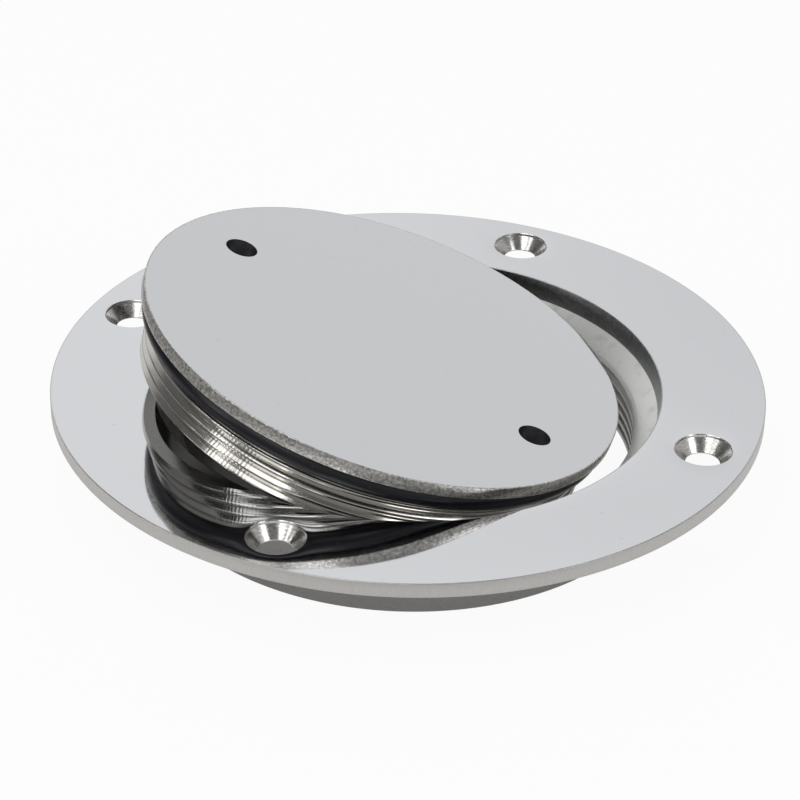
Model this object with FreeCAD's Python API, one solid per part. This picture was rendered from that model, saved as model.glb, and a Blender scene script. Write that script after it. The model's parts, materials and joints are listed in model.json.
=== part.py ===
import FreeCAD, Part
import math
import os

from FreeCAD import Placement, Rotation, Vector

# Deck inspection plate in polished stainless steel: a flanged ring that is screwed to a deck, and a
# screw-in lid with a rubber O-ring. The lid is unscrewed and lies askew in the ring's opening.
# Millimetres, +Z up. The origin is the centre of the screw circle on the flange's underside.

# Thread, with the lid's crest diameter as its size, from which all other diameters are worked out. It
# is cut on the lid. The collar's bore has the diameter of the collar's own crests, which stand the crest
# clearance off the lid's roots, and its lead-ins open to where the collar's roots would lie
thread_diameter = 80.8
thread_pitch = 2.0
thread_depth = 0.9
thread_crest_width = 0.4
crest_clearance = 0.5
root_clearance = 0.2
thread_overshoot = 0.1

# Conical seat for the O-ring and the recess above it for the lid's disc
seat_width = 3.3
seat_angle = 35.0
recess_depth = 3.9
recess_rim_chamfer = 0.3

# Collar under the flange, its height measured from the flange's top face
ring_height = 17.8
recess_wall = 1.5
collar_foot_chamfer = 0.5

# Flange around the collar
flange_width = 17.1
flange_thickness = 2.6
flange_edge_chamfer = 0.3

# Countersunk screw holes, their middles measured in from the flange's edge
screw_count = 4
screw_edge_distance = 8.1
screw_hole_diameter = 5.9
countersink_diameter = 9.8
countersink_angle = 90.0
countersink_land = 0.5

# Lid
disc_clearance = 0.65
disc_thickness = 2.25
disc_edge_chamfer = 0.15
lid_height = 13.9
roof_thickness = 6.5
skirt_wall = 1.7
skirt_foot_chamfer = 0.5
roof_corner_chamfer = 1.5

# Two blind holes for the key that turns the lid, their middles measured in from the disc's edge
key_hole_count = 2
key_hole_edge_distance = 10.75
key_hole_diameter = 5.8
key_hole_depth = 3.8
key_hole_point_angle = 118.0

# O-ring in the groove between the lid's disc and its thread, with narrow flats where it seats
oring_thickness = 3.8
oring_sides = 12
oring_groove_depth = 1.7
oring_side_clearance = 0.25

# How the loose lid lies: it leans down toward the lean direction, with its middle shifted the other way
lid_lean_angle = 16.84
lid_lean_direction = 24.8
lid_shift = 4.26
lid_turn = -36.0
lid_rest_gap = 0.1

# Steps of the search for the lid's resting height
search_step = 2.0
search_halvings = 12
search_directions = 120

lid_crest_radius = thread_diameter / 2
lid_root_radius = lid_crest_radius - thread_depth
skirt_bore_radius = lid_root_radius - skirt_wall
groove_radius = lid_crest_radius - oring_groove_depth
groove_foot = disc_thickness + oring_thickness + oring_side_clearance
ring_crest_radius = lid_root_radius + crest_clearance
lead_in_radius = lid_crest_radius + root_clearance
lead_in_width = lead_in_radius - ring_crest_radius
recess_radius = lead_in_radius + seat_width
disc_radius = recess_radius - disc_clearance
collar_radius = recess_radius + recess_wall
flange_radius = collar_radius + flange_width
screw_circle_radius = flange_radius - screw_edge_distance
key_hole_circle_radius = disc_radius - key_hole_edge_distance
collar_drop = ring_height - flange_thickness
seat_drop = seat_width * math.tan(math.radians(seat_angle))
seat_foot_height = flange_thickness - recess_depth - seat_drop


def outline(corners):
    """Points of a closed section from corners given as (radius, height, chamfer)."""
    points = []
    for i, (r, z, chamfer) in enumerate(corners):
        if chamfer == 0:
            points.append((r, z))
            continue
        for other in (corners[i - 1], corners[(i + 1) % len(corners)]):
            share = chamfer / math.hypot(other[0] - r, other[1] - z)
            points.append((r + share * (other[0] - r), z + share * (other[1] - z)))
    return points


def turned(corners):
    """Solid of revolution about Z from corners given as (radius, height, chamfer)."""
    points = [Vector(r, 0, z) for r, z in outline(corners)]
    face = Part.Face(Part.makePolygon(points + points[:1]))
    return face.revolve(Vector(0, 0, 0), Vector(0, 0, 1), 360)


def thread_groove():
    """Cutter of the lid's right-hand V thread, from its root to just past its crest, in the lid's frame."""
    low = -lid_height - thread_pitch / 2
    high = -groove_foot + thread_pitch / 2
    outer = lid_crest_radius + thread_overshoot
    half_mouth = (thread_pitch - thread_crest_width) / 2
    half_width = half_mouth * (1 + thread_overshoot / thread_depth)
    tips = [Vector(lid_root_radius, 0, 0), Vector(outer, 0, -half_width), Vector(outer, 0, half_width)]
    section = Part.makePolygon(tips + tips[:1])
    helix = Part.makeLongHelix(thread_pitch, high - low, lid_root_radius)
    cutter = Part.Wire(helix.Edges).makePipeShell([section], True, True)
    cutter.translate(Vector(0, 0, low))
    return cutter


def around(shape, count, circle_radius, first_angle=0.0):
    """Copies of a shape set around Z on a circle."""
    copies = []
    for i in range(count):
        copy = shape.copy()
        copy.translate(Vector(circle_radius, 0, 0))
        copy.rotate(Vector(0, 0, 0), Vector(0, 0, 1), first_angle + 360.0 * i / count)
        copies.append(copy)
    return copies


def ring_corners():
    """Section of the ring: collar, flange, recess, conical seat and the bore at the thread's crests."""
    top = flange_thickness
    return [
        (ring_crest_radius, lead_in_width - collar_drop, 0),
        (lead_in_radius, -collar_drop, 0),
        (collar_radius, -collar_drop, collar_foot_chamfer),
        (collar_radius, 0, 0),
        (flange_radius, 0, 0),
        (flange_radius, top, flange_edge_chamfer),
        (recess_radius, top, recess_rim_chamfer),
        (recess_radius, top - recess_depth, 0),
        (lead_in_radius, seat_foot_height, 0),
        (ring_crest_radius, seat_foot_height - lead_in_width, 0),
    ]


def lid_corners():
    """Section of the lid in its own frame, with its top face at height 0."""
    foot = -lid_height
    return [
        (0, 0, 0),
        (disc_radius, 0, disc_edge_chamfer),
        (disc_radius, -disc_thickness, disc_edge_chamfer),
        (groove_radius, -disc_thickness, 0),
        (groove_radius, -groove_foot, 0),
        (lid_crest_radius, -groove_foot, 0),
        (lid_crest_radius, foot, skirt_foot_chamfer),
        (skirt_bore_radius, foot, 0),
        (skirt_bore_radius, -roof_thickness, roof_corner_chamfer),
        (0, -roof_thickness, 0),
    ]


def screw_hole():
    """Cutter of one countersunk hole: land at the top, cone, then the plain hole."""
    hole = screw_hole_diameter / 2
    sink = countersink_diameter / 2
    cone_top = flange_thickness - countersink_land
    cone_foot = cone_top - (sink - hole) / math.tan(math.radians(countersink_angle / 2))
    return turned([
        (0, -flange_thickness, 0),
        (hole, -flange_thickness, 0),
        (hole, cone_foot, 0),
        (sink, cone_top, 0),
        (sink, 2 * flange_thickness, 0),
        (0, 2 * flange_thickness, 0),
    ])


def key_hole():
    """Cutter of one blind hole with the drill's conical point, from above the lid's top face."""
    hole = key_hole_diameter / 2
    point = hole / math.tan(math.radians(key_hole_point_angle / 2))
    return turned([
        (0, -key_hole_depth - point, 0),
        (hole, -key_hole_depth, 0),
        (hole, disc_thickness, 0),
        (0, disc_thickness, 0),
    ])


def make_ring():
    """Flange and collar, turned in one piece."""
    ring = turned(ring_corners())
    return ring.cut(around(screw_hole(), screw_count, screw_circle_radius))


def make_lid():
    """Disc with a threaded skirt, turned in one piece, in its own frame."""
    lid = turned(lid_corners())
    lid = lid.cut(thread_groove())
    return lid.cut(around(key_hole(), key_hole_count, key_hole_circle_radius, lid_turn))


def make_oring():
    """O-ring that bears on the groove's floor and on the disc's underside, in the lid's frame."""
    half = oring_thickness / 2
    middle_radius = groove_radius + half
    middle_height = -disc_thickness - half
    reach = half / math.cos(math.pi / oring_sides)
    corners = []
    for i in range(oring_sides):
        angle = 2 * math.pi * (i + 0.5) / oring_sides
        corners.append((middle_radius + reach * math.cos(angle), middle_height + reach * math.sin(angle), 0))
    return turned(corners)


def distance_to_section(r, z, section):
    """Distance from a point to a closed polygon in the (radius, height) plane, negative inside it."""
    nearest = math.inf
    inside = False
    for i, (r1, z1) in enumerate(section):
        r2, z2 = section[(i + 1) % len(section)]
        dr = r2 - r1
        dz = z2 - z1
        share = ((r - r1) * dr + (z - z1) * dz) / (dr * dr + dz * dz)
        share = min(1.0, max(0.0, share))
        nearest = min(nearest, math.hypot(r - r1 - share * dr, z - z1 - share * dz))
        if (z1 > z) != (z2 > z) and r < r1 + dr * (z - z1) / dz:
            inside = not inside
    return -nearest if inside else nearest


def lid_placement(rise):
    """Place of the loose lid, with the middle of its top face at a height above the flange's top face."""
    direction = math.radians(lid_lean_direction)
    away = Vector(-math.cos(direction), -math.sin(direction), 0)
    axis = Vector(-math.sin(direction), math.cos(direction), 0)
    middle = away * lid_shift + Vector(0, 0, flange_thickness + rise)
    lean = Rotation(axis, lid_lean_angle)
    turn = Rotation(Vector(0, 0, 1), lid_lean_direction)
    return Placement(middle, lean * turn)


def circle_points(section, placement):
    """Points of a turned section's corners all around its axis, put in place."""
    points = []
    for r, z in section:
        for i in range(search_directions):
            angle = 2 * math.pi * i / search_directions
            points.append(placement.multVec(Vector(r * math.cos(angle), r * math.sin(angle), z)))
    return points


def room_left(rise, ring_section, lid_section):
    """Smallest distance between the ring and the lid, corner circles of each against the other's section."""
    placement = lid_placement(rise)
    back = placement.inverse()
    seen_by_ring = circle_points(lid_section, placement)
    seen_by_lid = [back.multVec(p) for p in circle_points(ring_section, Placement())]
    room = [distance_to_section(math.hypot(p.x, p.y), p.z, ring_section) for p in seen_by_ring]
    room += [distance_to_section(math.hypot(p.x, p.y), p.z, lid_section) for p in seen_by_lid]
    return min(room)


def resting_rise():
    """Height at which the leaning lid, let down from above, has only the rest gap left to the ring."""
    ring_section = outline(ring_corners())
    lid_section = outline(lid_corners())
    high = lid_height + disc_radius * math.sin(math.radians(lid_lean_angle))
    while room_left(high - search_step, ring_section, lid_section) > lid_rest_gap:
        high -= search_step
    low = high - search_step
    for _ in range(search_halvings):
        rise = (low + high) / 2
        if room_left(rise, ring_section, lid_section) > lid_rest_gap:
            high = rise
        else:
            low = rise
    return high


def save(name, shape, placement=None):
    """Write one solid to its own file."""
    solid = shape.Solids[0]
    if placement:
        solid = solid.copy()
        solid.Placement = placement.multiply(solid.Placement)
    solid.exportStep(os.path.join("parts", name + ".step"))
    print(name, "valid" if solid.isValid() else "not valid", "volume", round(solid.Volume, 1))


os.makedirs("parts", exist_ok=True)
rise = resting_rise()
print("flange diameter", round(2 * flange_radius, 3), "clear opening", round(2 * ring_crest_radius, 3))
print("lid's top face stands", round(rise, 3), "mm above the flange")
save("deck_ring", make_ring())
save("lid", make_lid(), lid_placement(rise))
save("lid_oring", make_oring(), lid_placement(rise))
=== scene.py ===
# %% [markdown]
# # A deck inspection plate in stainless steel
#
# The real object is a hatch for a boat's deck. A ring with a wide flange is screwed over a round
# cut-out, and a lid with a thread and a rubber ring screws into it. Here the lid has been unscrewed
# and lies askew in the opening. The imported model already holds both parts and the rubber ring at
# their real size and place. This script gives each of them a finer mesh of the same form, with its
# threads and finishes, and then sets the light and the camera.

import json
import math

import bmesh
import bpy
from mathutils import Matrix, Vector


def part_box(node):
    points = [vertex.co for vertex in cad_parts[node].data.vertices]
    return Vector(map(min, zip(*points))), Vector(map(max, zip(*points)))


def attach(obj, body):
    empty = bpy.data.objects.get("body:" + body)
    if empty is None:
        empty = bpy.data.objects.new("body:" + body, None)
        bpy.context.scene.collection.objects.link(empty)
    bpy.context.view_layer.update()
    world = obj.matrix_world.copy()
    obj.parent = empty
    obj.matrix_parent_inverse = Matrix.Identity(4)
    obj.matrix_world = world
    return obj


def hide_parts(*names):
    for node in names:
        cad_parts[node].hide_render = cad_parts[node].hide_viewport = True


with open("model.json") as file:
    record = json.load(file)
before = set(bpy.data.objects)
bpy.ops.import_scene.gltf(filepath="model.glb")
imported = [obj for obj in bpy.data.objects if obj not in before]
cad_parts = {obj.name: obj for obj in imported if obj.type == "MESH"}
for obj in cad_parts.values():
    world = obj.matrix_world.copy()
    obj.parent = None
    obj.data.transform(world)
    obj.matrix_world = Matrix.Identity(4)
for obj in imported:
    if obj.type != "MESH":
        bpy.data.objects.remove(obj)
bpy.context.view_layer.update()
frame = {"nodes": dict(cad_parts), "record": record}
print("nodes in the frame:", sorted(frame["nodes"]))

# %% [markdown]
# ## Sizes
#
# Whatever the frame can tell is read from it: the ring's outline, the screw circle, the key holes
# and the place of the lid. The other sizes are those of the thread, the seat and the small edges.

# %% Sizes of the ring
MM = 0.001
mounts = {mount["name"]: mount for mount in frame["record"]["mounts"]}
ring_low, ring_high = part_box("deck_ring")

COLLAR_WALL = 1.5 * MM
RECESS_DEPTH = 3.9 * MM
FLANGE_RADIUS = ring_high.x
FLANGE_TOP = ring_high.z
COLLAR_FOOT = ring_low.z
COLLAR_RADIUS = mounts["collar"]["dims"]["r_mm"] * MM
RECESS_RADIUS = COLLAR_RADIUS - COLLAR_WALL
RECESS_FLOOR = FLANGE_TOP - RECESS_DEPTH
SEAT_WIDTH = 3.3 * MM
SEAT_ANGLE = math.radians(35.0)
LEAD_IN_RADIUS = RECESS_RADIUS - SEAT_WIDTH
SEAT_FOOT = RECESS_FLOOR - SEAT_WIDTH * math.tan(SEAT_ANGLE)

SCREW_CIRCLE = mounts["screw_holes"]["dims"]["pcd_mm"] / 2 * MM
SCREW_COUNT = mounts["screw_holes"]["dims"]["count"]
SCREW_HOLE = mounts["screw_holes"]["dims"]["hole_r_mm"] * MM
SINK_RADIUS = 4.9 * MM
SINK_LAND = 0.5 * MM

print("flange", round(2 * FLANGE_RADIUS / MM, 2), "mm across,", SCREW_COUNT, "screw holes")

# %% Sizes of the thread, the lid and the rubber ring
THREAD_PITCH = 2.0 * MM
RING_THREAD_DEPTH = 0.6 * MM
RING_THREAD_CREST = 0.8 * MM
LID_THREAD_DEPTH = 0.9 * MM
LID_THREAD_CREST = 0.4 * MM
LID_THREAD_START = 0.9
THREAD_ROUNDING = 0.08
ROOT_CLEARANCE = 0.2 * MM
RING_CREST = LEAD_IN_RADIUS - RING_THREAD_DEPTH
LID_CREST = LEAD_IN_RADIUS - ROOT_CLEARANCE
LID_ROOT = LID_CREST - LID_THREAD_DEPTH

DISC_CLEARANCE = 0.65 * MM
DISC_RADIUS = RECESS_RADIUS - DISC_CLEARANCE
DISC_THICKNESS = 2.25 * MM
LID_HEIGHT = 13.9 * MM
ROOF_THICKNESS = 6.5 * MM
SKIRT_WALL = 1.7 * MM
SKIRT_BORE = LID_ROOT - SKIRT_WALL
KEY_CIRCLE = mounts["key_holes"]["dims"]["pcd_mm"] / 2 * MM
KEY_COUNT = mounts["key_holes"]["dims"]["count"]
KEY_HOLE = mounts["key_holes"]["dims"]["hole_r_mm"] * MM
KEY_DEPTH = 3.8 * MM
KEY_TURN = math.radians(-36.0)

ORING_THICKNESS = 3.8 * MM
GROOVE_DEPTH = 1.7 * MM
GROOVE_PLAY = 0.25 * MM
GROOVE_RADIUS = LID_CREST - GROOVE_DEPTH
GROOVE_FOOT = DISC_THICKNESS + ORING_THICKNESS + GROOVE_PLAY

COLUMNS = 360
HOLE_COLUMNS = 80
SECTION_COLUMNS = 40
ROWS_PER_TURN = 20
print("lid disc", round(2 * DISC_RADIUS / MM, 2), "mm across")

# %% [markdown]
# ## Where the lid lies
#
# The lid's top face is a tilted plane. The frame gives its middle and its upward direction. The
# steepest way down that plane is the lid's own X axis, so the lid can be built upright, about its
# own axis, and put in place with one matrix.

# %% The lid's matrix
lid_middle = Vector(mounts["key_holes"]["pos_m"])
lid_up = Vector(mounts["key_holes"]["axis"]).normalized()
lid_side = Vector((0, 0, 1)).cross(lid_up).normalized()
lid_downhill = lid_side.cross(lid_up)
LID_TURN = Matrix((lid_downhill, lid_side, lid_up)).transposed()
LID_PLACE = Matrix.Translation(lid_middle) @ LID_TURN.to_4x4()
print("lid leans", round(math.degrees(lid_up.angle(Vector((0, 0, 1)))), 2), "degrees")

# %% [markdown]
# ## Writing node trees as formulas
#
# Both the geometry and the materials below are node trees. A tree is easier to read as a formula
# than as a list of links. So one small class stands for an output socket, and Python's operators on
# it add Math nodes. A second class stands for the tree and adds any other node with one method.

# %% Sockets that can be added and multiplied
class Wire:
    """An output socket of a node tree. Each operator on it adds a Math node."""

    def __init__(self, sheet, socket):
        self.sheet = sheet
        self.socket = socket

    def maths(self, operation, *others):
        return self.sheet.node("ShaderNodeMath", {"operation": operation}, [self, *others])

    def __add__(self, other):
        return self.maths("ADD", other)

    __radd__ = __add__

    def __mul__(self, other):
        return self.maths("MULTIPLY", other)

    __rmul__ = __mul__

    def __sub__(self, other):
        return self.maths("SUBTRACT", other)

    def __rsub__(self, other):
        return self.sheet.node("ShaderNodeMath", {"operation": "SUBTRACT"}, [other, self])

    def __truediv__(self, other):
        return self.maths("DIVIDE", other)

    def above(self, low, high):
        """0 below low, 1 above high and a smooth step between them, or the reverse if low > high."""
        ends = [0.0, 1.0]
        if low > high:
            low, high, ends = high, low, [1.0, 0.0]
        settings = {"interpolation_type": "SMOOTHSTEP"}
        return self.sheet.node("ShaderNodeMapRange", settings, [self, low, high, *ends])


class Sheet:
    """A node tree with one method that adds a node, sets it up and links it."""

    def __init__(self, tree):
        self.tree = tree

    def node(self, kind, settings=None, links=None, out=0):
        made = self.tree.nodes.new(kind)
        for name, value in (settings or {}).items():
            setattr(made, name, value)
        pairs = links.items() if isinstance(links, dict) else enumerate(links or [])
        for key, value in pairs:
            if isinstance(value, Wire):
                self.tree.links.new(value.socket, made.inputs[key])
            elif value is not None:
                made.inputs[key].default_value = value
        return Wire(self, made.outputs[out])

    def other(self, wire, name):
        """Another output of the node that a wire comes from."""
        return Wire(self, wire.socket.node.outputs[name])


print("node helpers are ready")

# %% [markdown]
# ## Geometry trees
#
# Each geometry tree has named inputs. A modifier knows an input by its socket's identifier, so the
# helper below looks that up, sets the values, evaluates the object once and keeps the plain mesh.

# %% Make a geometry tree and bake it
SOCKET_TYPES = {float: "NodeSocketFloat", int: "NodeSocketInt"}


def geometry_sheet(name, sizes):
    """A new geometry tree with a mesh input, one named input per size, and a material input."""
    tree = bpy.data.node_groups.new(name, "GeometryNodeTree")
    tree.interface.new_socket("Geometry", in_out="INPUT", socket_type="NodeSocketGeometry")
    for label, kind in sizes.items():
        tree.interface.new_socket(label, in_out="INPUT", socket_type=SOCKET_TYPES[kind])
    tree.interface.new_socket("Material", in_out="INPUT", socket_type="NodeSocketMaterial")
    tree.interface.new_socket("Geometry", in_out="OUTPUT", socket_type="NodeSocketGeometry")
    sheet = Sheet(tree)
    entry = sheet.node("NodeGroupInput")
    inputs = {label: sheet.other(entry, label) for label in ["Geometry", *sizes, "Material"]}
    return sheet, inputs


def end_tree(sheet, shape, material):
    """Ends a tree in plain geometry with its material."""
    plain = sheet.node("GeometryNodeRealizeInstances", None, [shape])
    finished = sheet.node("GeometryNodeSetMaterial", None, {"Geometry": plain, "Material": material})
    output = sheet.tree.nodes.new("NodeGroupOutput")
    sheet.tree.links.new(finished.socket, output.inputs["Geometry"])
    return sheet.tree


def bake(tree, values, material, start=None):
    """The mesh that a tree makes from a start mesh with the given input values."""
    carrier = bpy.data.objects.new("carrier", start or bpy.data.meshes.new("empty"))
    bpy.context.scene.collection.objects.link(carrier)
    modifier = carrier.modifiers.new("tree", "NODES")
    modifier.node_group = tree
    given = {**values, "Material": material}
    for item in tree.interface.items_tree:
        if item.item_type == "SOCKET" and item.in_out == "INPUT" and item.name in given:
            modifier[item.identifier] = given[item.name]
    evaluated = carrier.evaluated_get(bpy.context.evaluated_depsgraph_get())
    mesh = bpy.data.meshes.new_from_object(evaluated)
    bpy.data.objects.remove(carrier)
    return mesh


print("geometry helpers are ready")

# %% [markdown]
# ## The thread
#
# A thread follows a rule: as the angle goes once round, the groove climbs by one pitch. So it is made
# from a flat grid. One direction of the grid becomes the angle, the other the height, and the rows
# are sheared so that they run along the thread. Each point's distance from the nearest crest gives
# its radius. At both ends a 45 degree cone takes over, which is how a lathe starts and stops a
# thread. The same tree makes the lid's outer thread and the ring's inner one, where the depth is
# negative.

# %% Geometry tree for a threaded wall
WELD = 0.002 * MM
THREAD_SIZES = {
    "Low": float, "High": float, "Crest radius": float, "Depth": float, "Pitch": float,
    "Crest width": float, "Rounding": float, "Low radius": float, "High radius": float,
    "Start": float, "Columns": int, "Rows per turn": int,
}


def thread_tree():
    sheet, size = geometry_sheet("threaded_wall", THREAD_SIZES)
    pitch = size["Pitch"]
    low = size["Low"]
    high = size["High"]
    turns = ((high - low) / pitch + 1).maths("CEIL")
    grid = sheet.node("GeometryNodeMeshGrid", None,
                      [1.0, 1.0, size["Columns"] + 1, turns * size["Rows per turn"] + 1])
    place = sheet.node("ShaderNodeSeparateXYZ", None, [sheet.node("GeometryNodeInputPosition")])
    around = place + 0.5
    climb = sheet.other(place, "Y") + 0.5
    height = low + pitch * (around - 1 + climb * turns)
    height = height.maths("MAXIMUM", low).maths("MINIMUM", high)
    phase = ((height - low) / pitch - around + size["Start"] + 1).maths("FRACT")
    from_crest = (phase - 0.5).maths("ABSOLUTE") * pitch
    flat = size["Crest width"] / 2
    share = (from_crest - flat) / (pitch / 2 - flat)
    blend = size["Rounding"]
    share = share.maths("SMOOTH_MAX", 0.0, blend).maths("SMOOTH_MIN", 1.0, blend)
    radius = size["Crest radius"] - share * size["Depth"]
    for end, end_radius in ((height - low, size["Low radius"]), (high - height, size["High radius"])):
        radius = radius.maths("MAXIMUM", end_radius - end).maths("MINIMUM", end_radius + end)
    angle = around * math.tau
    point = sheet.node("ShaderNodeCombineXYZ", None,
                       [radius * angle.maths("COSINE"), radius * angle.maths("SINE"), height])
    wall = sheet.node("GeometryNodeSetPosition", None, {"Geometry": grid, "Position": point})
    wall = sheet.node("GeometryNodeMergeByDistance", None, {"Geometry": wall, "Distance": WELD})
    return end_tree(sheet, wall, size["Material"])


THREAD = thread_tree()
print("thread tree has", len(THREAD.nodes), "nodes")

# %% [markdown]
# ## Holes round a circle
#
# The four countersinks are alike and so are the two key holes. One wall is turned, and a tree sets
# copies of it round a circle.

# %% Geometry tree that sets copies round a circle
CIRCLE_SIZES = {"Count": int, "Circle radius": float, "First angle": float}


def circle_tree():
    sheet, size = geometry_sheet("set_round_a_circle", CIRCLE_SIZES)
    angle = size["First angle"] + sheet.node("GeometryNodeInputIndex") / size["Count"] * math.tau
    radius = size["Circle radius"]
    place = sheet.node("ShaderNodeCombineXYZ", None,
                       [radius * angle.maths("COSINE"), radius * angle.maths("SINE"), 0.0])
    points = sheet.node("GeometryNodePoints", None, {"Count": size["Count"], "Position": place})
    copies = sheet.node("GeometryNodeInstanceOnPoints", None,
                        {"Points": points, "Instance": size["Geometry"]})
    return end_tree(sheet, copies, size["Material"])


CIRCLE = circle_tree()
print("circle tree has", len(CIRCLE.nodes), "nodes")

# %% [markdown]
# ## The rubber ring as a tree
#
# A rubber ring is a circle swept round a circle. Both circles come from the tree, so its size and how
# finely it is cut are inputs.

# %% Geometry tree for the rubber ring
RING_SIZES = {"Circle radius": float, "Section radius": float, "Around": int, "Section": int}


def rubber_tree():
    sheet, size = geometry_sheet("rubber_ring", RING_SIZES)
    path = sheet.node("GeometryNodeCurvePrimitiveCircle", {"mode": "RADIUS"},
                      {"Resolution": size["Around"], "Radius": size["Circle radius"]})
    section = sheet.node("GeometryNodeCurvePrimitiveCircle", {"mode": "RADIUS"},
                         {"Resolution": size["Section"], "Radius": size["Section radius"]})
    swept = sheet.node("GeometryNodeCurveToMesh", None, {"Curve": path, "Profile Curve": section})
    return end_tree(sheet, swept, size["Material"])


RUBBER_RING = rubber_tree()
print("rubber ring tree has", len(RUBBER_RING.nodes), "nodes")

# %% [markdown]
# ## Turned surfaces
#
# Everything else on this object comes off a lathe. A turned surface is an outline spun about the
# axis, so the helper takes the outline's corners, each with its radius, height and rounding, puts a
# small arc at each rounded corner and spins the points. Flat faces with holes in them are left open
# here and filled at the end, so that they stay truly flat and mirror without a ripple.

# %% Outlines and spinning
ARC_STEPS = 4
SAME_HEIGHT = 0.001 * MM


def arc_points(before, corner, after, rounding):
    """Points of a small arc that rounds one corner of an outline."""
    to_before = (Vector(before) - Vector(corner)).normalized()
    to_after = (Vector(after) - Vector(corner)).normalized()
    half = to_before.angle(to_after) / 2
    middle = Vector(corner) + (to_before + to_after).normalized() * rounding / math.sin(half)
    first = Vector(corner) + to_before * rounding / math.tan(half) - middle
    last = Vector(corner) + to_after * rounding / math.tan(half) - middle
    shares = [i / ARC_STEPS for i in range(ARC_STEPS + 1)]
    return [middle + first.slerp(last, share).normalized() * rounding for share in shares]


def outline(corners):
    """Points of an open outline from (radius, height, rounding) corners."""
    points = []
    for i, (r, z, rounding) in enumerate(corners):
        if rounding == 0:
            points.append(Vector((r, z)))
        else:
            before, after = corners[i - 1][:2], corners[i + 1][:2]
            points += arc_points(before, (r, z), after, rounding)
    return points


def spin(shape, corners, surface, columns=COLUMNS):
    """Adds an outline spun about Z to a bmesh."""
    loops = []
    for r, z in outline(corners):
        angles = [math.tau * i / columns for i in range(columns)]
        loops.append([shape.verts.new((r * math.cos(a), r * math.sin(a), z)) for a in angles])
    for one, two in zip(loops, loops[1:]):
        for i in range(columns):
            j = (i + 1) % columns
            shape.faces.new((one[i], one[j], two[j], two[i])).material_index = surface


def add_mesh(shape, mesh, surface):
    """Adds a baked mesh to a bmesh, as one of its surfaces."""
    known = len(shape.faces)
    shape.from_mesh(mesh)
    shape.faces.ensure_lookup_table()
    for face in shape.faces[known:]:
        face.material_index = surface


def fill_level(shape, height, surface):
    """Fills the flat face between all open edges at one height."""
    level = [e for e in shape.edges
             if e.is_boundary and all(abs(v.co.z - height) < SAME_HEIGHT for v in e.verts)]
    made = bmesh.ops.triangle_fill(shape, edges=level, use_beauty=False, normal=(0, 0, 1))
    for item in made["geom"]:
        if isinstance(item, bmesh.types.BMFace):
            item.material_index = surface
    for edge in level:
        edge.smooth = False


print("lathe helpers are ready")

# %% Close a shape and make it a piece
SHARP_ANGLE = math.radians(40.0)


def weld(shape):
    bmesh.ops.remove_doubles(shape, verts=shape.verts, dist=WELD)


def make_piece(name, shape, materials, place=None):
    """Turns a closed bmesh into an object that sits at the origin, with its place in its mesh."""
    bmesh.ops.recalc_face_normals(shape, faces=shape.faces)
    for face in shape.faces:
        face.smooth = True
    for edge in shape.edges:
        if len(edge.link_faces) == 2 and edge.calc_face_angle() > SHARP_ANGLE:
            edge.smooth = False
    if place:
        shape.transform(place)
    open_edges = sum(1 for edge in shape.edges if len(edge.link_faces) != 2)
    mesh = bpy.data.meshes.new(name)
    shape.to_mesh(mesh)
    shape.free()
    for material in materials:
        mesh.materials.append(material)
    piece = bpy.data.objects.new(name, mesh)
    bpy.context.scene.collection.objects.link(piece)
    print(name, "has", len(mesh.polygons), "faces and", open_edges, "open edges")
    return piece


# %% [markdown]
# ## Finishes
#
# The flat faces are buffed to a mirror, so almost all their colour is what they reflect. What a
# material can add is small: a faint haze, a few pits, and a surface that is not perfectly flat, which
# bends the reflections near the holes. Turned surfaces keep the fine lines of the tool, and here and
# there the marks of a tool that chattered.

# %% Coordinates in millimetres
def new_material(name):
    material = bpy.data.materials.new(name)
    material.use_nodes = True
    material.node_tree.nodes.clear()
    return material, Sheet(material.node_tree)


def millimetres(sheet, place=None):
    """Object coordinates in millimetres, in the frame of the part that place puts where it lies."""
    texture = sheet.node("ShaderNodeTexCoord", None, None, out="Object")
    place = place or Matrix.Identity(4)
    links = [texture, place.translation, place.to_euler(), (MM, MM, MM)]
    point = sheet.node("ShaderNodeMapping", {"vector_type": "TEXTURE"}, links)
    x = sheet.node("ShaderNodeSeparateXYZ", None, [point])
    return point, x, sheet.other(x, "Y"), sheet.other(x, "Z")


def noise(sheet, vector, scale, detail=2.0, roughness=0.5):
    """Noise about 0, from roughly -0.5 to 0.5."""
    links = {"Vector": vector, "Scale": scale, "Detail": detail, "Roughness": roughness}
    return sheet.node("ShaderNodeTexNoise", {"noise_dimensions": "3D"}, links, out=0) - 0.5


def length(one, two):
    return (one * one + two * two).maths("SQRT")


def blend(sheet, share, one, two):
    """A colour between two colours, given as three numbers each."""
    links = {0: share, 6: (*one, 1.0), 7: (*two, 1.0)}
    return sheet.node("ShaderNodeMix", {"data_type": "RGBA"}, links, out=2)


def end_material(sheet, colour, roughness, height, metallic=1.0, specular=0.5):
    """Ends a material in its shader. A height in millimetres becomes its bump."""
    bump = sheet.node("ShaderNodeBump", None, {"Strength": 1.0, "Distance": MM, "Height": height})
    links = {"Base Color": colour, "Roughness": roughness, "Metallic": metallic,
             "Specular IOR Level": specular, "Normal": bump}
    shader = sheet.node("ShaderNodeBsdfPrincipled", None, links)
    output = sheet.tree.nodes.new("ShaderNodeOutputMaterial")
    sheet.tree.links.new(shader.socket, output.inputs["Surface"])


STEEL = (0.632, 0.642, 0.662)
STEEL_WARM = (0.60, 0.59, 0.57)
STEEL_TURNED = (0.50, 0.485, 0.455)
STEEL_DULL = (0.42, 0.40, 0.37)
# The darkest steel: smudges and pits on the seat, and painted shade towards the collar's foot.
STEEL_SMUDGE_AND_SHADE = (0.24, 0.235, 0.23)
# A darker copy of steel for the key holes' walls: painted shade inside the blind holes.
STEEL_PAINTED_SHADE = (0.28, 0.28, 0.30)
STEEL_CAST = (0.42, 0.425, 0.44)
STEEL_PALE = (0.80, 0.80, 0.78)

print("finish helpers are ready")

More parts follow.
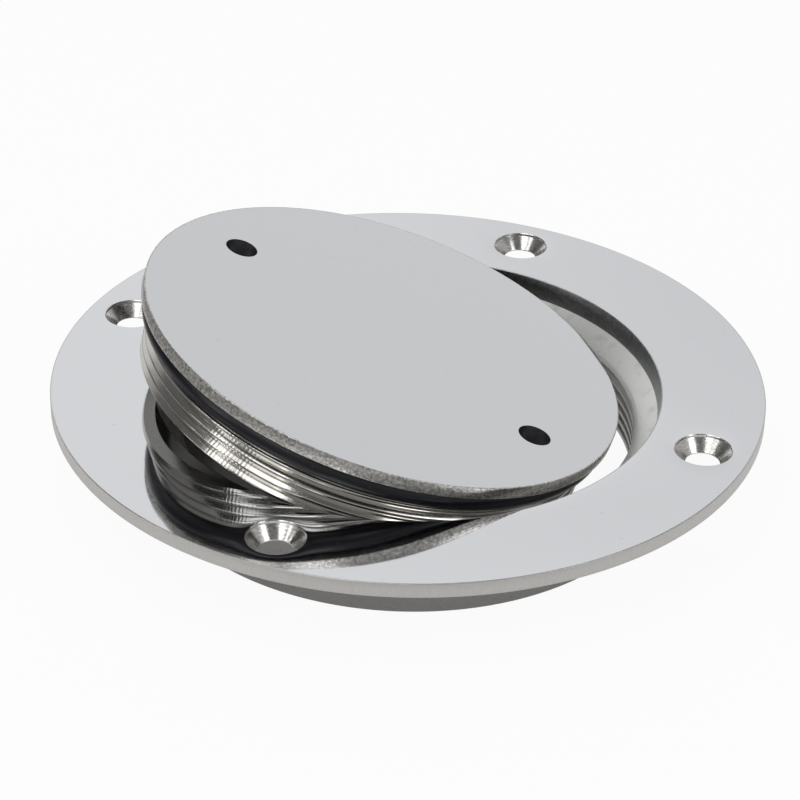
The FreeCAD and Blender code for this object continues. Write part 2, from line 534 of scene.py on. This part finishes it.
# %% [markdown]
# ### Buffed faces
#
# Buffing rounds a plate slightly towards its holes and edges. The flange's material works out the
# distance to the nearest screw hole and lets the height fall away there. The inner rim was worked by
# hand too, most of all on one side, where the face slopes down towards the recess and its edge is
# rubbed round.

# %% Buffed steel
PIT = (0.25, 0.25, 0.25)
DISH_DEPTH = 0.09
DISH_REACH = 1.4
WORN_DEPTH = 0.52
WORN_REACH = 17.0
WORN_CURVE = 1.7
RUBBED_DEPTH = 0.28
RUBBED_REACH = 1.0
WORN_SIDE = math.radians(-58.0)


def pits(sheet, point, spacing, share, size):
    """1 in a few small round pits, 0 elsewhere: share of the cells of that spacing hold one."""
    links = {"Vector": point, "Scale": 1 / spacing, "Randomness": 1.0}
    settings = {"feature": "F1", "voronoi_dimensions": "2D"}
    cell = sheet.node("ShaderNodeTexVoronoi", settings, links)
    chance = sheet.node("ShaderNodeSeparateColor", None, [sheet.other(cell, "Color")])
    held = chance.above(share + 0.01, share)
    radius = sheet.other(chance, "Green") * size + size * 0.4
    near = (cell * spacing / radius).above(1.0, 0.5)
    return near * held


def buffed(name, hand_work, place=None):
    """Mirror finish. hand_work gives how much of the height is gone at a place, in millimetres."""
    material, sheet = new_material(name)
    point, x, y, _ = millimetres(sheet, place)
    wide = noise(sheet, point, 0.035, 1.0)
    cloud = noise(sheet, point, 0.12, 3.0)
    pit = pits(sheet, point, spacing=5.0, share=0.22, size=0.13)
    height = wide * 0.10 - pit * 0.004
    if hand_work:
        height = height - hand_work(x, y)
    end_material(sheet, blend(sheet, pit * 0.4, STEEL, PIT), cloud * 0.03 + 0.05 + pit * 0.15, height)
    return material


def to_screw_hole(x, y):
    """Distance in millimetres from the edge of the nearest of the four holes on the X and Y axes."""
    circle = SCREW_CIRCLE / MM
    one = length(x.maths("ABSOLUTE") - circle, y)
    two = length(x, y.maths("ABSOLUTE") - circle)
    return (one.maths("MINIMUM", two) - SINK_RADIUS / MM).maths("MAXIMUM", 0.0)


def worked_by_hand(x, y):
    near_holes = (to_screw_hole(x, y) / -DISH_REACH).maths("EXPONENT")
    radius = length(x, y)
    outer = RECESS_RADIUS / MM + WORN_REACH
    towards_rim = ((outer - radius) / WORN_REACH).maths("MAXIMUM", 0.0).maths("POWER", WORN_CURVE)
    rubbed = ((RECESS_RADIUS / MM - radius) / RUBBED_REACH).maths("EXPONENT")
    side = (x * math.cos(WORN_SIDE) + y * math.sin(WORN_SIDE)) / radius
    worn = towards_rim * WORN_DEPTH + rubbed * RUBBED_DEPTH
    return near_holes * DISH_DEPTH + side.above(0.2, 0.9) * worn


FLANGE_FACE = buffed("steel_buffed_flange", worked_by_hand)
LID_FACE = buffed("steel_buffed_lid", None, LID_PLACE)
print("made", FLANGE_FACE.name, "and", LID_FACE.name)

# %% [markdown]
# ### Turned steel
#
# A lathe tool leaves lines round the axis. Seen from the side they are noise that changes quickly
# with height and radius and slowly with the angle. Chatter is a ripple across those lines. It is
# strongest over one short stretch of the lid. Where the bar's skin or a casting's is left, the surface
# is grainy and mottled as well.

# %% Turned steel
CHATTER_COUNT = 330
CHATTER_SIDE = math.radians(-126.0)
CHATTER_REACH = math.radians(9.0)
CHATTER_ELSEWHERE = 0.08
LINE_STRETCH = 1.5
LINES_PER_MM = 9.0


def turned(name, colour, roughness, lines, grain, chatter=0.0, place=None, grain_size=0.33,
           mottle=0.3, metallic=1.0):
    """Steel as it comes off the lathe. lines, grain and chatter are heights in millimetres."""
    material, sheet = new_material(name)
    point, x, y, z = millimetres(sheet, place)
    angle = y.maths("ARCTAN2", x)
    radius = length(x, y)
    across = [angle * LINE_STRETCH, radius * LINES_PER_MM, z * LINES_PER_MM]
    line = noise(sheet, sheet.node("ShaderNodeCombineXYZ", None, across), 1.0, 2.0)
    fine = noise(sheet, point, 1 / grain_size, 3.0, 0.6)
    slow = noise(sheet, point, 0.15, 2.0)
    height = line * lines + fine * grain
    if chatter:
        ripple = (angle * CHATTER_COUNT + slow * 3.0).maths("SINE")
        here = (angle - CHATTER_SIDE).maths("ABSOLUTE").above(CHATTER_REACH, 0.6 * CHATTER_REACH)
        height = height + ripple * here.maths("MAXIMUM", CHATTER_ELSEWHERE) * chatter
    shade = slow * 0.16 + line * 0.12 + fine * mottle + 1.0
    tint = sheet.node("ShaderNodeVectorMath", {"operation": "SCALE"}, {0: colour, "Scale": shade})
    end_material(sheet, tint, slow * 0.10 + fine * 0.15 + roughness, height, metallic)
    return material


RING_THREAD = turned("steel_thread_ring", STEEL_PALE, roughness=0.42, lines=0.004, grain=0.003,
                     metallic=0.6)
RECESS_WALL = turned("steel_recess_wall", STEEL_CAST, roughness=0.32, lines=0.003, grain=0.010,
                     grain_size=0.6, mottle=1.2)
LID_THREAD = turned("steel_thread_lid", STEEL_TURNED, roughness=0.13, lines=0.002, grain=0.001,
                    chatter=0.004, place=LID_PLACE)
LID_EDGE = turned("steel_turned_disc", STEEL_TURNED, roughness=0.22, lines=0.002, grain=0.035,
                  chatter=0.002, place=LID_PLACE, grain_size=0.5, mottle=2.8, metallic=0.82)
SINK = turned("steel_countersink", STEEL_WARM, roughness=0.20, lines=0.010, grain=0.004, mottle=1.4)
LID_FOOT = turned("steel_skirt_foot", STEEL_DULL, roughness=0.30, lines=0.003, grain=0.006,
                  place=LID_PLACE)
LID_INSIDE = turned("steel_skirt_bore", STEEL_DULL, roughness=0.45, lines=0.004, grain=0.010,
                    place=LID_PLACE, grain_size=0.8)
# The key holes' walls get the darker steel: painted shade inside the blind holes.
KEY_WALL = turned("steel_key_hole_painted_shade", STEEL_PAINTED_SHADE, roughness=0.38, lines=0.004, grain=0.010,
                  place=LID_PLACE, grain_size=0.8)
print("made eight turned finishes")

# %% [markdown]
# ### Seat
#
# The cone on which the rubber ring seats was left as cast and lightly blasted. It is pale and matt,
# with small dark pits and faint smudges.

# %% Seat
def seat():
    material, sheet = new_material("steel_blasted_seat")
    point = millimetres(sheet)[0]
    smudge = noise(sheet, point, 0.35, 3.0)
    fine = noise(sheet, point, 2.5, 2.0)
    pit = pits(sheet, point, spacing=1.6, share=0.22, size=0.12)
    colour = blend(sheet, smudge.above(0.02, 0.25) * 0.25 + pit * 0.6, STEEL_PALE, STEEL_SMUDGE_AND_SHADE)
    end_material(sheet, colour, smudge * 0.10 + 0.40, fine * 0.004 - pit * 0.02, 0.6)
    return material


SEAT = seat()
print("made", SEAT.name)

# %% [markdown]
# ### Satin edge
#
# The flange's rim and the collar were only ground. The grinding marks stand upright, and the collar, which
# goes into the deck, is rougher and more grainy towards its foot. Its colour there is painted darker as
# well: painted shade, where the collar comes down close to the floor.

# %% Satin edge
MARKS_PER_MM = 2.5
MARK_STRETCH = 0.25


def satin():
    material, sheet = new_material("steel_satin_painted_foot_shade")
    point, x, y, z = millimetres(sheet)
    around = y.maths("ARCTAN2", x) * (FLANGE_RADIUS / MM)
    upright = sheet.node("ShaderNodeCombineXYZ", None, [around * MARKS_PER_MM, 0.0, z * MARK_STRETCH])
    mark = noise(sheet, upright, 1.0, 3.0)
    fine = noise(sheet, point, 2.2, 3.0, 0.6)
    # foot darkens the colour towards the collar's foot, which is painted shade, and makes the surface
    # rougher and more grainy there.
    foot = z.above(1.5, -6.0)
    colour = blend(sheet, foot * (fine * 0.6 + 0.85), STEEL_WARM, STEEL_SMUDGE_AND_SHADE)
    shade = mark * 0.12 + fine * (foot * 0.9 + 0.2) + 0.95
    tint = sheet.node("ShaderNodeVectorMath", {"operation": "SCALE"}, {0: colour, "Scale": shade})
    end_material(sheet, tint, mark * 0.15 + 0.30 + foot * 0.08, mark * 0.004 + fine * foot * 0.02)
    return material


SATIN = satin()
print("made", SATIN.name)

# %% [markdown]
# ### Rubber
#
# The rubber ring is smooth black nitrile with a soft sheen and a few grains of dust.

# %% Rubber
RUBBER_DARK = (0.008, 0.008, 0.011)
RUBBER_DUST = (0.20, 0.20, 0.20)


def rubber():
    material, sheet = new_material("rubber_black")
    point, x, y, z = millimetres(sheet, LID_PLACE)
    slow = noise(sheet, point, 0.3, 2.0)
    fine = noise(sheet, point, 4.0, 2.0)
    around = y.maths("ARCTAN2", x) * (GROOVE_RADIUS / MM)
    skin = sheet.node("ShaderNodeCombineXYZ", None, [around, z, 0.0])
    dust = pits(sheet, skin, spacing=1.5, share=0.12, size=0.10)
    colour = blend(sheet, dust * 0.5, RUBBER_DARK, RUBBER_DUST)
    end_material(sheet, colour, slow * 0.12 + 0.30, slow * 0.02 + fine * 0.002, 0.0, 0.35)
    return material


RUBBER = rubber()
print("made", RUBBER.name)

# %% [markdown]
# ## The ring
#
# The ring is one turned piece: flange, recess, conical seat, threaded bore and collar. Its strips are
# spun one by one with shared end circles, the holes and the thread come from their trees, and the two
# flat faces are filled last. The recess's rim is a little wider than its foot, and more so on the
# side where it was worked most.

# %% Build the ring
TOP, EDGE, WALL, CONE, BORE, SINKS = range(6)
RIM_ROUNDING = 0.1 * MM
FOOT_ROUNDING = 0.5 * MM
RIM_WORN = 0.40 * MM
RIM_WORN_MORE = 0.41 * MM
SINK_BREAK = 0.12 * MM
SINK_FOOT_ROUNDING = 0.08 * MM
RIM_BAND = 1.0 * MM


def screw_hole_wall():
    """Wall of one countersunk hole about Z, from the flange's top face to its underside."""
    wall = bmesh.new()
    sink_top = FLANGE_TOP - SINK_LAND
    sink_foot = sink_top - (SINK_RADIUS - SCREW_HOLE)
    spin(wall, [
        (SINK_RADIUS + SINK_BREAK, FLANGE_TOP, 0),
        (SINK_RADIUS, FLANGE_TOP - SINK_BREAK, 0),
        (SINK_RADIUS, sink_top, 0),
        (SCREW_HOLE, sink_foot, SINK_FOOT_ROUNDING),
        (SCREW_HOLE, 0, 0),
    ], SINKS, HOLE_COLUMNS)
    mesh = bpy.data.meshes.new("screw_hole_wall")
    wall.to_mesh(mesh)
    wall.free()
    return mesh


def build_ring():
    ring = bmesh.new()
    spin(ring, [
        (FLANGE_RADIUS, 0, 0),
        (FLANGE_RADIUS, FLANGE_TOP, RIM_ROUNDING),
        (FLANGE_RADIUS - 2 * RIM_ROUNDING, FLANGE_TOP, 0),
    ], EDGE)
    spin(ring, [
        (RECESS_RADIUS + RIM_WORN + 2 * RIM_ROUNDING, FLANGE_TOP, 0),
        (RECESS_RADIUS + RIM_WORN, FLANGE_TOP, RIM_ROUNDING),
        (RECESS_RADIUS, RECESS_FLOOR, 0),
    ], WALL)
    spin(ring, [(RECESS_RADIUS, RECESS_FLOOR, 0), (LEAD_IN_RADIUS, SEAT_FOOT, 0)], CONE)
    thread = bake(THREAD, {
        "Low": COLLAR_FOOT, "High": SEAT_FOOT, "Crest radius": RING_CREST,
        "Depth": -RING_THREAD_DEPTH, "Pitch": THREAD_PITCH,
        "Crest width": RING_THREAD_CREST, "Rounding": THREAD_ROUNDING,
        "Low radius": LEAD_IN_RADIUS, "High radius": LEAD_IN_RADIUS, "Start": 0.0,
        "Columns": COLUMNS, "Rows per turn": ROWS_PER_TURN,
    }, RING_THREAD)
    add_mesh(ring, thread, BORE)
    spin(ring, [
        (LEAD_IN_RADIUS, COLLAR_FOOT, 0),
        (COLLAR_RADIUS, COLLAR_FOOT, FOOT_ROUNDING),
        (COLLAR_RADIUS, 0, 0),
    ], EDGE)
    holes = bake(CIRCLE, {"Count": SCREW_COUNT, "Circle radius": SCREW_CIRCLE, "First angle": 0.0},
                 SINK, screw_hole_wall())
    add_mesh(ring, holes, SINKS)
    weld(ring)
    more = Vector((math.cos(WORN_SIDE), math.sin(WORN_SIDE))) * RIM_WORN_MORE
    for point in ring.verts:
        near_rim = point.co.xy.length < RECESS_RADIUS + RIM_BAND
        if near_rim and point.co.z > FLANGE_TOP - 2 * RIM_ROUNDING:
            point.co.xy += more
    fill_level(ring, FLANGE_TOP, TOP)
    fill_level(ring, 0.0, EDGE)
    finishes = [FLANGE_FACE, SATIN, RECESS_WALL, SEAT, RING_THREAD, SINK]
    return make_piece("ring_with_flange", ring, finishes)


ring = build_ring()
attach(ring, "root")
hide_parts("deck_ring")

# %% [markdown]
# ## The lid
#
# The lid is built upright about its own axis with its top face at height 0, and then moved to where
# it lies. Its key holes are blind and end in the cone that a drill leaves.

# %% Build the lid
FACE, DISC, CUT, FOOT, INSIDE, KEYS = range(6)
FOOT_WIDTH = 0.5 * MM
ROOF_CORNER = 1.5 * MM
DISC_ROUNDING = 0.12 * MM
DRILL_POINT = math.radians(118.0 / 2)


def key_hole_wall():
    """Wall of one blind hole about Z, with its drilled point, from the lid's top face down."""
    wall = bmesh.new()
    point = KEY_HOLE / math.tan(DRILL_POINT)
    spin(wall, [(KEY_HOLE, 0, 0), (KEY_HOLE, -KEY_DEPTH, 0), (0, -KEY_DEPTH - point, 0)],
         KEYS, HOLE_COLUMNS)
    mesh = bpy.data.meshes.new("key_hole_wall")
    wall.to_mesh(mesh)
    wall.free()
    return mesh


def build_lid():
    lid = bmesh.new()
    spin(lid, [
        (DISC_RADIUS - 2 * DISC_ROUNDING, 0, 0),
        (DISC_RADIUS, 0, DISC_ROUNDING),
        (DISC_RADIUS, -DISC_THICKNESS, DISC_ROUNDING),
        (GROOVE_RADIUS, -DISC_THICKNESS, 0),
        (GROOVE_RADIUS, -GROOVE_FOOT, 0),
        (LID_CREST, -GROOVE_FOOT, 0),
    ], DISC)
    thread = bake(THREAD, {
        "Low": -LID_HEIGHT, "High": -GROOVE_FOOT, "Crest radius": LID_CREST,
        "Depth": LID_THREAD_DEPTH, "Pitch": THREAD_PITCH,
        "Crest width": LID_THREAD_CREST, "Rounding": THREAD_ROUNDING,
        "Low radius": LID_CREST - FOOT_WIDTH, "High radius": LID_CREST, "Start": LID_THREAD_START,
        "Columns": COLUMNS, "Rows per turn": ROWS_PER_TURN,
    }, LID_THREAD)
    add_mesh(lid, thread, CUT)
    spin(lid, [(LID_CREST - FOOT_WIDTH, -LID_HEIGHT, 0), (SKIRT_BORE, -LID_HEIGHT, 0)], FOOT)
    spin(lid, [
        (SKIRT_BORE, -LID_HEIGHT, 0),
        (SKIRT_BORE, -ROOF_THICKNESS, ROOF_CORNER),
        (SKIRT_BORE - 2 * ROOF_CORNER, -ROOF_THICKNESS, 0),
    ], INSIDE)
    holes = bake(CIRCLE, {"Count": KEY_COUNT, "Circle radius": KEY_CIRCLE, "First angle": KEY_TURN},
                 KEY_WALL, key_hole_wall())
    add_mesh(lid, holes, KEYS)
    weld(lid)
    fill_level(lid, 0.0, FACE)
    fill_level(lid, -ROOF_THICKNESS, INSIDE)
    finishes = [LID_FACE, LID_EDGE, LID_THREAD, LID_FOOT, LID_INSIDE, KEY_WALL]
    return make_piece("lid_with_thread", lid, finishes, LID_PLACE)


lid = build_lid()
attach(lid, "root")
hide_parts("lid")

# %% [markdown]
# ## The rubber ring
#
# It lies in the groove under the lid's disc, against the groove's floor and the disc's underside.

# %% Build the rubber ring
def build_rubber_ring():
    section = ORING_THICKNESS / 2
    mesh = bake(RUBBER_RING, {
        "Circle radius": GROOVE_RADIUS + section, "Section radius": section,
        "Around": COLUMNS, "Section": SECTION_COLUMNS,
    }, RUBBER)
    shape = bmesh.new()
    shape.from_mesh(mesh)
    down = Matrix.Translation((0, 0, -DISC_THICKNESS - section))
    return make_piece("rubber_seal_ring", shape, [RUBBER], LID_PLACE @ down)


seal = build_rubber_ring()
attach(seal, "root")
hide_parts("lid_oring")

# %% [markdown]
# ## Camera
#
# The camera was worked out from the flange's outline and its four holes in the photograph: where it
# stands, what it aims at, how far it is rolled and how long its lens is.

# %% Camera
CAMERA_AZIMUTH = math.radians(22.34)
CAMERA_ELEVATION = math.radians(31.035)
CAMERA_DISTANCE = 512.9 * MM
CAMERA_ROLL = math.radians(1.358)
CAMERA_LENS = 131.52
SENSOR_WIDTH = 36.0
NEAREST_SEEN = 10 * MM
AIM_RIGHT, AIM_UP = -1.376 * MM, -4.315 * MM


def add_camera():
    about = Matrix.Rotation(CAMERA_AZIMUTH, 3, "Z")
    centre = Vector((0, 0, FLANGE_TOP))
    back = Vector((0, -math.cos(CAMERA_ELEVATION), math.sin(CAMERA_ELEVATION)))
    spot = centre + about @ (back * CAMERA_DISTANCE)
    aim = centre + about @ Vector((AIM_RIGHT, 0, AIM_UP))
    ahead = (aim - spot).normalized()
    right = ahead.cross(Vector((0, 0, 1))).normalized()
    roll = Matrix.Rotation(-CAMERA_ROLL, 3, ahead)
    right = roll @ right
    above = right.cross(ahead)
    camera = bpy.data.objects.new("camera", bpy.data.cameras.new("camera"))
    turn = Matrix((right, above, -ahead)).transposed().to_4x4()
    camera.matrix_world = Matrix.Translation(spot) @ turn
    camera.data.lens = CAMERA_LENS
    camera.data.sensor_width = SENSOR_WIDTH
    camera.data.clip_start = NEAREST_SEEN
    bpy.context.scene.collection.objects.link(camera)
    bpy.context.scene.camera = camera
    return camera


camera = add_camera()
print("camera stands at", [round(value, 4) for value in camera.location])

# %% [markdown]
# ## Light
#
# Polished steel shows its surroundings, so the studio matters more than the lamps. Behind the object
# stands a white wall, a little shaded low down on its right. The other walls are grey up to a little
# over eye level, nearly black at the far left, and the ceiling is dark except for a pale round panel.
# Every direction below is seen from the camera: right, back and up. Each pair says where along such a
# direction a part of the studio starts and where it has its full strength.

# %% The studio around the object
CEILING_LEVEL = 0.17
WALL_LEVEL = 0.55
PANEL_LEVEL = 0.80
SHADED_SIDE = 0.14
BLACK_LEFT = 0.65

BACK_WALL = (0.50, 0.70)
SIDE_WALLS = (-0.9, -0.6)
WALL_TOPS = (0.72, 0.60)
PANEL = (0.965, 0.975)
SHADED_FROM_LEFT = (-0.08, 0.14)
SHADED_BELOW = (0.66, 0.44)
BLACK_FROM_RIGHT = (-0.72, -0.86)
BLACK_BELOW = (0.66, 0.50)


def build_world():
    world = bpy.data.worlds.new("studio")
    bpy.context.scene.world = world
    world.use_nodes = True
    world.node_tree.nodes.clear()
    sheet = Sheet(world.node_tree)
    direction = sheet.node("ShaderNodeTexCoord", None, None, out="Generated")
    turned_back = sheet.node("ShaderNodeVectorRotate", {"rotation_type": "Z_AXIS"},
                             {"Vector": direction, "Angle": -CAMERA_AZIMUTH})
    right = sheet.node("ShaderNodeSeparateXYZ", None, [turned_back])
    back = sheet.other(right, "Y")
    up = sheet.other(right, "Z")
    shaded = right.above(*SHADED_FROM_LEFT) * up.above(*SHADED_BELOW) * SHADED_SIDE
    white = back.above(*BACK_WALL) * (1.0 - shaded)
    grey = right.above(*SIDE_WALLS) * WALL_LEVEL
    walls = white.maths("MAXIMUM", grey) * up.above(*WALL_TOPS)
    ceiling = (up.above(*PANEL) * PANEL_LEVEL).maths("MAXIMUM", CEILING_LEVEL)
    far_left = right.above(*BLACK_FROM_RIGHT) * up.above(*BLACK_BELOW) * BLACK_LEFT
    rays = sheet.node("ShaderNodeLightPath", None, None, out="Is Camera Ray")
    level = (walls.maths("MAXIMUM", ceiling) * (1.0 - far_left)).maths("MAXIMUM", rays)
    sky = sheet.node("ShaderNodeBackground", None, {"Color": (1.0, 1.0, 1.0, 1.0), "Strength": level})
    output = world.node_tree.nodes.new("ShaderNodeOutputWorld")
    world.node_tree.links.new(sky.socket, output.inputs["Surface"])


build_world()
print("studio walls are up")

# %% [markdown]
# ## Lamps
#
# The bright streaks across the threads are long soft lamps. Each one is a strip between two points,
# most of them on a ceiling one metre above the object. Two more stand at the left.

# %% Lamps
CEILING = 1.0
JUST_UNDER = CEILING - 0.01


def add_lamp(name, one_end, other_end, width, brightness):
    """A soft strip lamp between two points, facing the object. Its face is brightness times white."""
    one_end, other_end = Vector(one_end), Vector(other_end)
    span = other_end - one_end
    middle = (one_end + other_end) / 2
    lamp = bpy.data.lights.new(name, "AREA")
    lamp.shape = "RECTANGLE"
    lamp.size, lamp.size_y = span.length, width
    lamp.energy = brightness * math.pi * span.length * width
    away = middle.normalized()
    across = away.cross(span).normalized()
    turn = Matrix((across.cross(away), across, away)).transposed()
    item = bpy.data.objects.new(name, lamp)
    seen_from_camera = Matrix.Translation(middle) @ turn.to_4x4()
    item.matrix_world = Matrix.Rotation(CAMERA_AZIMUTH, 4, "Z") @ seen_from_camera
    bpy.context.scene.collection.objects.link(item)


add_lamp("lamp_left", (-0.18, 0.085, CEILING), (-1.08, -0.575, CEILING), 0.17, 2.6)
add_lamp("lamp_left_low", (-0.95, -0.36, 0.10), (-0.80, -0.38, 0.45), 0.12, 5.0)
add_lamp("lamp_soft", (0.05, 0.02, CEILING), (-0.66, -1.02, CEILING), 0.40, 2.0)
add_lamp("lamp_middle", (0.06, -0.16, JUST_UNDER), (-0.53, -1.17, JUST_UNDER), 0.05, 2.2)
add_lamp("lamp_right", (0.74, -0.55, CEILING), (1.45, -0.62, CEILING), 0.34, 4.0)
add_lamp("lamp_right_low", (0.90, -1.38, CEILING), (1.55, -1.33, CEILING), 0.25, 4.0)
add_lamp("lamp_side", (-0.82, -0.24, 0.54), (-0.89, -0.09, 0.46), 0.10, 4.0)
print("lamps are lit")

# %% [markdown]
# ## Floor
#
# The floor is plain and nearly white. Most of what the camera sees of it is a glow of strength 1, and
# the rest is a matt surface that takes the object's shadow. Steel sees less of the glow and more of
# the shadow, and a floor that gets dark further out. The glow leaves out what lies in the dark under
# the lid. From below the floor is clear, so that the underside can be looked at too. It lies a hair
# below the collar's foot, because two faces in one plane flicker.

# %% Floor
FLOOR_COLOUR = (0.86, 0.86, 0.86, 1.0)
FLOOR_GLOW = 0.94
FLOOR_GLOW_IN_METAL = 0.40
FLOOR_SIZE = 8.0
FLOOR_GAP = 0.02 * MM
FLOOR_HEIGHT = COLLAR_FOOT - FLOOR_GAP
LIT_SIDE = (0.012, 0.033)
FAR_FLOOR = (0.095, 0.130)
FAR_FLOOR_LEVEL = 0.28


def build_floor():
    material, sheet = new_material("floor_pale")
    rays = sheet.node("ShaderNodeLightPath", None, None, out="Is Camera Ray")
    mirrored = sheet.other(rays, "Is Glossy Ray").maths("MAXIMUM", sheet.other(rays, "Is Transmission Ray"))
    share = (rays * FLOOR_GLOW).maths("MAXIMUM", mirrored * FLOOR_GLOW_IN_METAL)
    place = sheet.node("ShaderNodeTexCoord", None, None, out="Object")
    turned_back = sheet.node("ShaderNodeVectorRotate", {"rotation_type": "Z_AXIS"},
                             {"Vector": place, "Angle": -CAMERA_AZIMUTH})
    right = sheet.node("ShaderNodeSeparateXYZ", None, [turned_back])
    radius = length(right, sheet.other(right, "Y"))
    # Inside the collar the glow is kept only right of a line given by position, so the edge of the dark
    # floor under the lid is painted by this mask, not cast by the lid.
    outside = radius.above(RING_CREST, COLLAR_RADIUS)
    lit = outside.maths("MAXIMUM", right.above(*LIT_SIDE))
    matt = sheet.node("ShaderNodeBsdfDiffuse", None, {"Color": FLOOR_COLOUR})
    glow = sheet.node("ShaderNodeEmission", None, {"Color": (1.0, 1.0, 1.0, 1.0), "Strength": 1.0})
    top = sheet.node("ShaderNodeMixShader", None, [share * lit, matt, glow])
    dark = sheet.node("ShaderNodeEmission", None, {"Strength": FAR_FLOOR_LEVEL})
    top = sheet.node("ShaderNodeMixShader", None, [mirrored * radius.above(*FAR_FLOOR), top, dark])
    below = sheet.node("ShaderNodeNewGeometry", None, None, out="Backfacing")
    clear = sheet.node("ShaderNodeBsdfTransparent")
    whole = sheet.node("ShaderNodeMixShader", None, [below, top, clear])
    output = material.node_tree.nodes.new("ShaderNodeOutputMaterial")
    material.node_tree.links.new(whole.socket, output.inputs["Surface"])
    half = FLOOR_SIZE / 2
    corners = [(-half, -half), (half, -half), (half, half), (-half, half)]
    mesh = bpy.data.meshes.new("floor")
    mesh.from_pydata([(x, y, FLOOR_HEIGHT) for x, y in corners], [], [(0, 1, 2, 3)])
    mesh.materials.append(material)
    floor = bpy.data.objects.new("floor", mesh)
    bpy.context.scene.collection.objects.link(floor)


build_floor()
bpy.context.scene.view_settings.view_transform = "Standard"
print("floor lies at", round(FLOOR_HEIGHT / MM, 2), "mm")

# %% [markdown]
